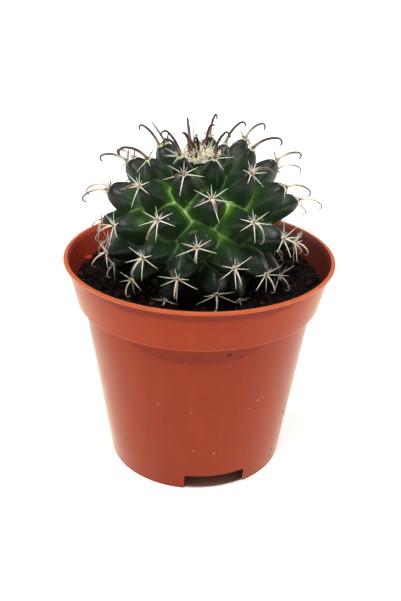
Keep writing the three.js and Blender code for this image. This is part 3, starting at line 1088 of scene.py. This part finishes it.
def skinFinish():
    skin = Finish("cactusSkin", {"IOR": 1.4, "Specular IOR Level": 0.4})
    spot = skin.place()
    depth = skin.attribute("tipDepth")
    gap = skin.attribute("creaseGap")
    flank = skin.attribute("flank")
    order = skin.attribute("order")
    wander = skin.noise(spot, 190, 3.0)
    fine = skin.noise(spot, 520, 3.0)
    patch = skin.patches(spot, 75, 2.0, 0.36, 0.62)
    height = skin.part(spot, 2)
    # Painted light: deeper skin turns a lighter green, most in a height band where it is lit and on the
    # tubercles' upper faces.
    lit = skin.ramp(height, 0.096, 0.107) * (1 - 0.6 * skin.ramp(height, 0.115, 0.121))
    facing = skin.node("Math", {"operation": "COSINE"}, {0: flank})
    upper = skin.ramp(facing, -0.75, 0.55)
    inner = skin.ramp(depth + 3.0 * wander, 3.5, 9.5)
    glow, halo = 0, 0
    for n, upwards, sideways, size, bright, around in litCreases:
        place = skinPlace(n, upwards, sideways)
        glow = glow + spotShare(skin, spot, place, 1.5 * size, 0.3) * bright
        halo = halo + spotShare(skin, spot, place, 2.7 * size, 0.2) * around
    # Painted light: axils, the lines between tubercles and their meeting points are painted bright green,
    # for light shining through the skin.
    axilGlow = skin.ramp(gap + 2.0 * wander, 5.4, 1.4) * inner * (0.25 + 0.75 * upper)
    shine = lit * (0.25 + 0.75 * patch)
    line = skin.ramp(gap + 0.9 * fine, 1.9, 0.70) * skin.ramp(depth, 4.0, 7.5)
    meet = skin.ramp(skin.attribute("meetGap") + 0.5 * fine, 1.75, 0.75) * skin.ramp(depth, 3.0, 6.0)
    # Painted highlight: pale streaks on the side ridges and along the tubercles. Their colour stands partly
    # for the skin's waxy coat, partly for painted sheen.
    offRidge = skin.node("Math", {"operation": "ABSOLUTE"}, {0: facing})
    ridgeHighlight = skin.ramp(offRidge + 0.25 * fine, 0.34, 0.14) * skin.ramp(depth, 0.6, 2.0)
    along = skin.node("CombineXYZ", {}, {0: flank * 1.6, 1: order, 2: depth * 0.07})
    streak = skin.patches(along, 1.7, 3.0, 0.52, 0.78)
    bloomAndSheen = skin.patches(spot, 420, 4.0, 0.45, 0.8, 0.7)
    low = skin.ramp(height, 0.103, 0.090)
    base = skin.coats(
        skin.mix(skin.ramp(depth + 4.0 * wander, 2.0, 8.0), skinColours["night"], skinColours["leaf"]),
        skinColours,
        (inner * (0.25 + 0.75 * lit) * (0.35 + 0.65 * upper), "litUpperGreen"),
        (skin.ramp(height, 0.100, 0.088) * 0.7, "dull"),
        (axilGlow * (0.06 + 0.35 * shine + 0.7 * halo), "vivid"),
        (line * (0.04 + 0.10 * shine + 0.85 * glow), "creaseGlow"),
        (meet * (0.08 + 0.15 * lit + 0.75 * glow), "axilGlow"),
        (bloomAndSheen * (0.10 + 0.35 * low) + streak * 0.30 + ridgeHighlight * 0.28, "bloomAndSheen"),
    )
    # Painted light: lit patches, then the small marks, some of them dots of painted glow.
    for n, upwards, sideways, size, colour in litPatches:
        share = spotShare(skin, spot, skinPlace(n, upwards, sideways), size, 0.1)
        base = skin.mix(share * (0.15 + 0.5 * fine), base, skinColours[colour])
    for n, upwards, sideways, size, colour in skinSpots:
        scar = spotShare(skin, spot, skinPlace(n, upwards, sideways), size, 0.6, (fine - 0.5) * 0.0012)
        base = skin.mix(scar * 0.8, base, skinColours[colour])
    skin.set(Base_Color=base, Roughness=0.27 + 0.24 * skin.noise(spot, 320, 3.0))
    skin.bump(skin.noise(spot, 620, 3.0) + 0.35 * skin.noise(spot, 2400, 2.0), 0.00016, 0.8)
    return skin


def makeBody():
    middle = turnedBody(coreOutline(), core["sides"])
    bmesh.ops.translate(middle, verts=middle.verts, vec=(plant["centre"].x, plant["centre"].y, 0))
    bm = bmesh.new()
    blank = barBlank(plant["sides"], len(plant["depths"]) - 1)
    addCopies(bm, blank, tubercles, tuberclePoint)
    bm.from_mesh(meshOf(middle))
    loose = linked("grown", meshOf(bm, "grown"))
    skinOver = loose.modifiers.new("skinOver", "REMESH")
    skinOver.mode = "VOXEL"
    skinOver.voxel_size = plant["voxel"]
    mesh = appliedMesh(loose)
    bm = bmesh.new()
    bm.from_mesh(mesh)
    for _ in range(plant["smoothing"]):
        bmesh.ops.smooth_vert(
            bm, verts=bm.verts, factor=0.5, use_axis_x=True, use_axis_y=True, use_axis_z=True
        )
    bm.to_mesh(mesh)
    bm.free()
    markSkin(mesh)
    finishPiece(mesh, "cactusBody", skinFinish(), "cactus_flesh", "cactus")


makeBody()


# Spines. Each areole has a star of radial spines and one hooked central spine.
radial = {
    "spines": [(0, 5.4), (30, 3.2), (63, 6.6), (108, 7.8), (181, 8.2), (252, 7.8), (297, 6.6), (330, 3.2)],
    "lean": math.radians(20),
    "turnSpread": 0.12,
    "lengthSpread": 0.14,
    "leanSpread": 0.16,
    "radius": 0.25,
    "tipRadius": 0.03,
    "taper": 0.85,
    "nod": math.radians(17),  # the stars of the upper tubercles hang a little forwards
    "nodFrom": (5, 9),
    "nodTo": (17, 25),
    "cutShort": 0.7,
    "longest": 8.2,
    "start": 0.5,
    "startRise": 0.35,
    "bend": 0.06,
    "greyRadius": 0.38,
    "greyTaper": 0.35,
    # their top spines are painted grey: painted shade of a spine seen against the light
    "greyTops": (7, 10, 12, 14, 15, 19, 20),  # stars whose top spine stands against the light
}
hook = {
    "length": 13.5,
    "lengthSpread": 0.12,
    "radius": 0.57,
    "tipRadius": 0.13,
    "start": math.radians(4),
    "bend": math.radians(90),
    "bendPower": 1.3,
    "sway": 0.3,
    "curl": math.radians(150),
    "curlFrom": 0.72,
    "lift": math.radians(8),
    "mostLifts": 12,
    "liftShortening": 0.07,
    "oldShortening": 0.32,
    "shortFrom": (22, 40),
    "oldThinning": 0.4,
    "thinFrom": (18, 30),
    "rise": 0.4,
    "steps": 26,
}
hookNudges = {  # tubercle: length, then degrees further down and further aside
    1: (0.35, 0, 0),
    2: (1.15, 0, 18),
    3: (1.15, 3, 5),
    5: (1.2, 3, 10),
    7: (0.96, -4, 0),
    11: (1.0, 9, 0),
    12: (0.2, 0, 0),
    13: (0.45, 24, -42),
    15: (1.1, 7, 0),
    17: (0.45, 0, 0),
    18: (0.5, 12, -26),
    21: (0.45, 40, 18),
    23: (0.85, 14, 0),
    26: (0.80, 38, -14),
    29: (1.05, 6, -22),
    34: (0.60, 42, -2),
    36: (0.65, 10, 0),
    42: (0.9, 0, -10),
    45: (0.85, 0, 0),
    50: (0.9, 0, -6),
    53: (0.5, 0, 0),
}
spineClearance = 1.6  # above the soil
spineReach = 46  # from the pot's axis, up to a little above its lip
lipClearance = 1


def clearOfPot(point):
    point = Vector((point.x, point.y, max(point.z, soil["level"] + spineClearance)))
    reach = math.hypot(point.x, point.y)
    if point.z < pot["height"] + lipClearance and reach > spineReach:
        point.x *= spineReach / reach
        point.y *= spineReach / reach
    return point


starNudges = {  # tubercle: spine: degrees it turns further, and its length
    5: {6: (-8, 1.5)},
    13: {0: (-5, 1), 2: (10, 1.1), 4: (8, 1.3), 5: (-5, 1), 6: (-5, 1)},
    16: {2: (-20, 0.85), 4: (-8, 0.75), 5: (-17, 0.7)},
    21: {4: (-4, 1.3)},
    26: {0: (-10, 0.9), 3: (-13, 0.95), 4: (-16, 1), 5: (-3, 0.85), 6: (-9, 0.9)},
    29: {3: (5, 0.8), 4: (16, 1)},
    34: {4: (0, 0.6)},
    42: {3: (0, 0.65)},
}
starSizes = {52: 0.75, 60: 0.85, 63: 0.6}


def nodding(place):
    started, ended = blendTo(place["n"], *radial["nodFrom"]), blendTo(place["n"], *radial["nodTo"])
    turn = Matrix.Rotation(radial["nod"] * started * (1 - ended), 3, place["side"])
    return {**place, "axis": turn @ place["axis"], "up": turn @ place["up"]}


def radialSpines(place):
    size = starSizes.get(place["n"], 1) * (0.55 + 0.45 * place["age"])
    place = nodding(place)
    for k, (turn, length) in enumerate(radial["spines"]):
        further, longer = starNudges.get(place["n"], {}).get(k, (0, 1))
        turn = math.radians(turn + further) + radial["turnSpread"] * draw(place["n"], k)
        length *= longer * size * (1 + radial["lengthSpread"] * draw(place["n"], k + 20))
        rise = radial["lean"] + radial["leanSpread"] * draw(place["n"], k + 40)
        thick, taper, shade = radial["radius"], radial["taper"], 0.5 + 0.5 * draw(place["n"], k + 90)
        if k == 0 and place["n"] in radial["greyTops"]:
            thick, taper, shade = radial["greyRadius"], radial["greyTaper"], -1
        reach = length * math.cos(rise)
        tip = near(place, math.cos(turn) * reach, math.sin(turn) * reach, length * math.sin(rise))
        foot = radial["start"]
        start = near(place, math.cos(turn) * foot, math.sin(turn) * foot, radial["startRise"])
        clear = clearOfPot(tip)
        if (clear - tip).length > 0.1:
            clear = start.lerp(clear, radial["cutShort"])
        tip = clear
        along = (tip - start).normalized()
        across = along.cross(place["axis"]).normalized()
        yield {
            "start": start,
            "run": tip - start,
            "across": across,
            "over": across.cross(along),
            "bend": radial["bend"] * (tip - start).length * (1 + draw(place["n"], k + 70)),
            "thick": thick * (0.55 + 0.45 * length / radial["longest"]) * (0.8 + 0.2 * place["age"]),
            "taper": taper,
            "shade": shade,
        }


rootSwell = 0.35
rootSwellReach = 0.07


# A spine swells a little just above its root and then tapers to its tip.
def tapered(along, thick, tip, power):
    swell = 1 + rootSwell * math.exp(-((along / rootSwellReach) ** 2))
    return tip + (thick - tip) * max(0, 1 - along) ** power * swell


def radialPoint(spine, point):
    along = point.z
    middle = spine["start"] + spine["run"] * along - spine["over"] * spine["bend"] * along * along
    thick = tapered(along, spine["thick"], radial["tipRadius"], spine["taper"])
    spot = middle + (spine["across"] * point.x + spine["over"] * point.y) * thick
    return spot, [along, spine["shade"]]


def hookLine(place, droop, share):
    longer, lower, aside = hookNudges.get(place["n"], (1, 0, 0))
    sway = hook["sway"] * draw(place["n"], 60) + math.radians(aside)
    down = place["side"] * math.sin(sway) - place["up"] * math.cos(sway)
    spread = 1 + hook["lengthSpread"] * draw(place["n"], 61)
    length = hook["length"] * (0.9 + 0.1 * place["age"]) * spread * share
    length *= longer * (1 - hook["oldShortening"] * blendTo(place["n"], *hook["shortFrom"]))
    spot = near(place, 0, 0, hook["rise"])
    line = []
    for i in range(hook["steps"] + 1):
        along = i / hook["steps"]
        curled = max(0, along - hook["curlFrom"]) / (1 - hook["curlFrom"])
        bent = droop * min(along, hook["curlFrom"]) ** hook["bendPower"]
        angle = hook["start"] + bent + math.radians(lower) + hook["curl"] * curled
        ahead = place["axis"] * math.cos(angle) + down * math.sin(angle)
        outwards = down * math.cos(angle) - place["axis"] * math.sin(angle)
        line.append((spot.copy(), outwards))
        spot += ahead * length / hook["steps"]
    return {"line": line, "across": place["axis"].cross(down), "n": place["n"]}


# A hook that would touch the soil or the pot is lifted and shortened until it is clear.
def hookSpine(place):
    full = hook["bend"] * (0.3 + 0.7 * place["age"])
    for tries in range(hook["mostLifts"]):
        share = 1 - hook["liftShortening"] * tries
        made = hookLine(place, max(full - tries * hook["lift"], 0), share)
        if all((spot - clearOfPot(spot)).length < 0.05 for spot, _ in made["line"]):
            break
    return made


def hookPoint(spine, point):
    spot, outwards = spine["line"][round(point.z * hook["steps"])]
    thick = tapered(point.z, hook["radius"], hook["tipRadius"], 0.3)
    thick *= 1 - hook["oldThinning"] * blendTo(spine["n"], *hook["thinFrom"])
    spot = spot + (spine["across"] * point.x + outwards * point.y) * thick
    return spot, [point.z, min(spine["n"] / 60, 1)]


spineColours = {
    "root": (0.74, 0.58, 0.40),
    "ivory": (0.77, 0.80, 0.64),
    "chalk": (0.89, 0.92, 0.80),
    "point": (0.66, 0.62, 0.48),
    "darkBelowRim": (0.30, 0.25, 0.20),
    "hookRoot": (0.18, 0.095, 0.022),
    "hookCream": (0.78, 0.64, 0.50),
    "hookYoungRoot": (0.08, 0.052, 0.014),
    "hookGrey": (0.26, 0.19, 0.155),
    "hookBrown": (0.045, 0.024, 0.018),
    "youngRoot": (0.32, 0.11, 0.075),
    "youngTip": (0.020, 0.008, 0.006),
    "youngGrey": (0.32, 0.315, 0.30),
    "backlitGrey": (0.17, 0.16, 0.145),
}


def radialFinish():
    horn = Finish("whiteSpine", {"IOR": 1.5})
    along = horn.attribute("along")
    shade = horn.attribute("shade")
    spot = horn.place()
    streak = horn.noise(spot, 1400, 2.0)
    body = horn.coats(
        horn.mix(shade, spineColours["ivory"], spineColours["chalk"]),
        spineColours,
        (horn.ramp(shade, -0.2, -0.8), "backlitGrey"),
        (horn.ramp(along + 0.1 * streak, 0.26, 0.06), "root"),
        (horn.ramp(along, 0.86, 1.0) * 0.7, "point"),
        # spines below the pot's rim are darker
        (horn.ramp(horn.part(spot, 2), 0.0875, 0.0815) * 0.65, "darkBelowRim"),
    )
    horn.set(Base_Color=body, Roughness=0.42 + 0.15 * streak)
    return horn


def hookFinish():
    horn = Finish("hookedSpine", {"IOR": 1.5, "Specular IOR Level": 0.3})
    along = horn.attribute("along")
    rank = horn.attribute("rank")
    streak = horn.noise(horn.place(), 1400, 2.0)
    old = horn.ramp(rank, 0.17, 0.31)
    root = horn.mix(old, spineColours["hookYoungRoot"], spineColours["hookRoot"])
    shaft = horn.mix(old, spineColours["hookGrey"], spineColours["hookCream"])
    body = horn.mix(horn.ramp(along, 0.02, 0.15), root, shaft)
    dark = horn.ramp(along - 0.75 * rank + 0.15 * streak, 0.0, 0.38) * (1 - 0.5 * rank)
    body = horn.mix(dark, body, spineColours["hookBrown"])
    horn.set(Base_Color=body, Roughness=0.34 + 0.15 * streak)
    return horn


def youngFinish():
    horn = Finish("youngSpine", {"IOR": 1.5})
    along = horn.attribute("along")
    streak = horn.noise(horn.place((1, 1, 0.3)), 1100, 3.0)
    tone = horn.attribute("shade")
    dark = horn.ramp(along + 0.4 * streak - tone * 0.6, 0.45, 1.05)
    body = horn.mix(dark, spineColours["youngRoot"], spineColours["youngTip"])
    grey = horn.ramp(tone, 0, 0.9) * horn.ramp(along + 0.35 * tone, 0.3, 0.75)
    body = horn.mix(grey, body, spineColours["youngGrey"])
    horn.set(Base_Color=body, Roughness=0.3 + 0.15 * streak)
    return horn


def makeSpines():
    stars = [spine for place in tubercles for spine in radialSpines(place)]
    makeCopies("radialSpines", radialFinish(), ["along", "shade"], (barBlank(7, 7), stars, radialPoint))
    hooks = [hookSpine(place) for place in tubercles]
    blank = barBlank(8, hook["steps"])
    makeCopies("hookSpines", hookFinish(), ["along", "rank"], (blank, hooks, hookPoint))


makeSpines()


# Wool: a felt pad with short hairs in each areole.
wool = {
    "padRadius": 0.92,
    "padRise": 0.6,
    "hairs": 22,
    "hairLength": 0.9,
    "hairRadius": 0.045,
    "woolGlow": 0.08,
    "stain": 0.1,
    "seed": 5,
}


def padPoint(place, point):
    size = 0.9 + 0.9 * math.exp(-place["n"] / 6)
    swell = 1 + 0.35 * noise.noise(point * 2.6 + Vector((place["n"] * 3.7, 0, 0)))
    middle = math.hypot(point.x, point.y)
    flat = point.x * wool["padRadius"] * size * swell
    wide = point.y * wool["padRadius"] * size * swell
    return near(place, flat, wide, point.z * wool["padRise"] * size * swell), [middle, 0.1]


# A hair from its foot, with the way it heads and a direction that its width stands square to.
def bentHair(start, ahead, beside, length, bend, thick, shade):
    across = ahead.cross(beside).normalized()
    return {
        "start": start,
        "ahead": ahead,
        "across": across,
        "over": across.cross(ahead),
        "length": length,
        "bend": bend,
        "thick": thick,
        "shade": shade,
    }


def padHairs(place, rng):
    for _ in range(wool["hairs"]):
        turn = rng.uniform(0, fullTurn)
        reach = math.sqrt(rng.uniform(0.1, 1))
        out = place["up"] * math.cos(turn) + place["side"] * math.sin(turn)
        start = place["tip"] + out * reach * wool["padRadius"] * 0.8 + place["axis"] * 0.3
        ahead = (place["axis"] + out * rng.uniform(0.3, 1.1)).normalized()
        length = wool["hairLength"] * rng.uniform(0.5, 1.1)
        bend = rng.uniform(-0.35, 0.35)
        yield bentHair(start, ahead, place["up"], length, bend, wool["hairRadius"], rng.random())


def hairPoint(hair, point):
    along = point.z
    curve = hair["over"] * hair["bend"] * hair["length"] * along * along
    middle = hair["start"] + hair["ahead"] * hair["length"] * along + curve
    thick = hair["thick"] * (1 - 0.7 * along)
    return middle + (hair["across"] * point.x + hair["over"] * point.y) * thick, [1, hair["shade"]]


woolColours = {
    "centre": (0.055, 0.034, 0.009),
    "felt": (0.58, 0.43, 0.24),
    "straw": (0.80, 0.72, 0.52),
    "cream": (0.92, 0.83, 0.60),
    "white": (0.97, 0.94, 0.79),
    # painted shade in the gaps of the wool
    "gap": (0.05, 0.028, 0.014),
    "stain": (0.42, 0.22, 0.10),
}


# The wool glows by emission of its own colour: painted light, standing in for light that scatters about in
# it.
def woolFinish(name, woolGlow, stain):
    look = {"Roughness": 0.95, "Specular IOR Level": 0.15, "Emission Strength": woolGlow}
    felt = Finish(name, look)
    middle = felt.attribute("middle")
    shade = felt.attribute("shade")
    spot = felt.place()
    fuzz = felt.noise(spot, 2600, 3.0)
    colour = felt.coats(
        felt.mix(felt.ramp(middle + 0.3 * fuzz, 0.60, 0.76), woolColours["centre"], woolColours["felt"]),
        woolColours,
        (felt.ramp(middle + 0.4 * fuzz, 0.80, 1.0), "straw"),
        (felt.ramp(shade + 0.3 * fuzz, 0.3, 0.65), "cream"),
        (felt.ramp(shade + 0.3 * fuzz, 0.6, 1.0), "white"),
        (felt.patches(spot, 430, 2.0, 0.48, 0.62) * stain, "stain"),
        # painted shade: dark patches for the gaps between the hairs
        (felt.patches(spot, 700, 3.0, 0.44, 0.34) * 0.45, "gap"),
    )
    felt.set(Base_Color=colour, Emission_Color=colour)
    felt.bump(fuzz, 0.0002, 0.8)
    return felt


# The sunken crown: a tangle of wool with the thick dark spines of the newest tubercles in it.
crown = {
    "centre": Vector((-1.76, -2.19, 124.8)),
    "shift": Vector((1.4, 2.7, 0)),
    "radius": 6.1,
    "depth": 2.9,
    "rise": 1.7,
    "drop": -0.3,
    "sink": 0.3,
    "hairs": 800,
    "hairLength": 3.0,
    "hairRadii": (0.05, 0.10),
    "bristles": 110,
    "bristleLength": 4.6,
    "bristleRadii": (0.14, 0.24),
    "woolGlow": 0.34,
    "stain": 0.5,
    "seed": 23,
}
youngSpines = [  # from the crown's centre: foot, two pulls and tip east, north and up; thickness; tone
    ((-0.9, 1.6, 0.5), (-2.0, 1.6, 5.0), (-4.2, 1.4, 10.4), (-5.4, 1.2, 8.8), 0.9, 0.1),
    ((-1.7, 3.0, -0.5), (-1.9, 3.0, 5.0), (-2.9, 3.0, 11.0), (-3.6, 3.0, 15.7), 0.25, 1.0),
    ((-0.9, 3.2, 0.0), (-1.0, 3.2, 5.0), (-1.3, 3.2, 8.0), (-1.5, 3.2, 11.7), 0.26, 0.6),
    ((1.2, 0.6, -0.6), (0.4, 0.6, 5.4), (0.1, 0.5, 10.4), (-1.3, 0.4, 6.2), 0.58, -1.0),
    ((0.3, 1.5, -0.5), (-0.3, 1.5, 2.4), (-1.2, 1.5, 4.6), (-2.6, 1.5, 6.4), 1.05, 0.1),
    ((-0.2, -0.7, 0.6), (-0.2, -0.7, 1.7), (-0.4, -0.6, 2.7), (-0.6, -0.5, 3.7), 0.50, 0.6),
    ((-2.0, -0.5, 0.6), (-2.0, -0.5, 1.4), (-2.1, -0.4, 2.2), (-2.3, -0.3, 3.0), 0.30, 1.0),
    ((-2.6, 1.6, -0.5), (-2.7, 1.6, 2.0), (-2.8, 1.6, 4.6), (-2.4, 1.6, 6.8), 0.95, -0.6),
    ((2.3, 3.0, 0.0), (3.5, 3.0, 6.4), (3.9, 2.8, 14.2), (6.3, 2.6, 11.6), 0.66, 0.0),
    ((2.2, 2.6, 0.0), (3.0, 2.6, 3.4), (3.8, 2.6, 5.6), (4.8, 2.6, 7.4), 0.70, -0.7),
    ((-12.7, 18.2, 1.8), (-14.3, 18.2, 4.2), (-16.0, 18.2, 6.7), (-17.7, 18.2, 9.2), 0.54, 1.0),
    ((-11.4, 18.2, 0.4), (-11.4, 18.2, 1.7), (-11.3, 18.2, 3.0), (-11.2, 18.2, 4.4), 0.24, 1.0),
]
paleBristles = [  # the same, for the first pale spines around them
    ((6.3, 0.6, 1.4), (6.1, 0.6, 3.2), (5.2, 0.6, 4.8), (4.3, 0.6, 6.5), 0.26, 0.0),
    ((5.0, 1.0, 3.2), (5.2, 1.0, 5.0), (5.7, 1.0, 6.6), (6.3, 1.0, 7.8), 0.24, 0.0),
    ((1.5, -0.6, 1.8), (1.7, -0.6, 3.0), (2.1, -0.6, 4.0), (2.5, -0.6, 5.0), 0.24, 0.0),
    ((-2.7, -0.8, 0.8), (-2.0, -0.8, 1.6), (-0.8, -0.8, 2.4), (0.3, -0.8, 3.0), 0.26, 0.0),
    ((-5.2, 0.4, 0.6), (-4.8, 0.2, 2.0), (-3.9, 0.0, 2.9), (-3.0, -0.2, 3.4), 0.24, 0.0),
    ((3.8, -1.0, 0.6), (3.4, -1.0, 1.8), (3.0, -1.0, 2.8), (2.9, -1.0, 3.9), 0.22, 0.0),
]


def moundPoint(_, point):
    swell = 1 + 0.35 * noise.noise(point * 2.4) + 0.4 * noise.noise(point * 5.1)
    flat = Vector((point.x * crown["radius"], point.y * crown["depth"], point.z * crown["rise"]))
    spot = crown["centre"] + crown["shift"] + up * crown["drop"] + lean @ (flat * swell)
    return spot, [0.95 + 0.5 * noise.noise(point * 4.3), 0.7 + 0.5 * noise.noise(point * 9)]


def crownHairs(count, length, radii, rng):
    for _ in range(count):
        turn = rng.uniform(0, fullTurn)
        reach = math.sqrt(rng.random())
        out = Vector((math.cos(turn), math.sin(turn) * crown["depth"] / crown["radius"], 0))
        rise = crown["rise"] * math.sqrt(1 - 0.8 * reach * reach) + crown["drop"]
        foot = out * reach * crown["radius"] * 0.95 + up * (rise - crown["sink"])
        start = crown["centre"] + crown["shift"] + foot
        ahead = (up * rng.uniform(0.1, 1.2) + out * rng.uniform(-0.5, 1.2)).normalized()
        beside = Vector((rng.uniform(-1, 1), rng.uniform(-1, 1), 0.3))
        long = length * rng.uniform(0.4, 1.15)
        bend = rng.uniform(-0.4, 0.4)
        yield bentHair(start, ahead, beside, long, bend, rng.uniform(*radii), 0.45 + 0.55 * rng.random())


def youngPoint(spine, point):
    foot, firstPull, lastPull, tip = (Vector(item) for item in spine[:4])
    thick, tone = spine[4:]
    along = point.z
    rest = 1 - along
    middle = foot * rest**3 + firstPull * 3 * along * rest**2
    middle = middle + lastPull * 3 * along**2 * rest + tip * along**3
    ahead = (firstPull - foot) * rest**2 + (lastPull - firstPull) * 2 * along * rest
    ahead = ahead + (tip - lastPull) * along**2
    across = ahead.cross(Vector((0, 1, 0))).normalized()
    over = across.cross(ahead).normalized()
    width = thick * (0.3 + 0.7 * max(0, rest) ** 0.55)
    return crown["centre"] + middle + (across * point.x + over * point.y) * width, [along, tone]


def makeWool():
    rng = random.Random(wool["seed"])
    makeCopies(
        "areoleWool",
        woolFinish("areoleFelt", wool["woolGlow"], wool["stain"]),
        ["middle", "shade"],
        (ballBlank(3), tubercles, padPoint),
        (barBlank(3, 2), [hair for place in tubercles for hair in padHairs(place, rng)], hairPoint),
    )
    rng = random.Random(crown["seed"])
    hairs = crownHairs(crown["hairs"], crown["hairLength"], crown["hairRadii"], rng)
    bristles = crownHairs(crown["bristles"], crown["bristleLength"], crown["bristleRadii"], rng)
    makeCopies(
        "crownWool",
        woolFinish("crownFelt", crown["woolGlow"], crown["stain"]),
        ["middle", "shade"],
        (ballBlank(5), [None], moundPoint),
        (barBlank(4, 4), hairs, hairPoint),
        (barBlank(5, 4), bristles, hairPoint),
    )
    marks = ["along", "shade"]
    makeCopies("youngSpines", youngFinish(), marks, (barBlank(9, 18), youngSpines, youngPoint))
    makeCopies("paleBristles", radialFinish(), marks, (barBlank(7, 8), paleBristles, youngPoint))


makeWool()
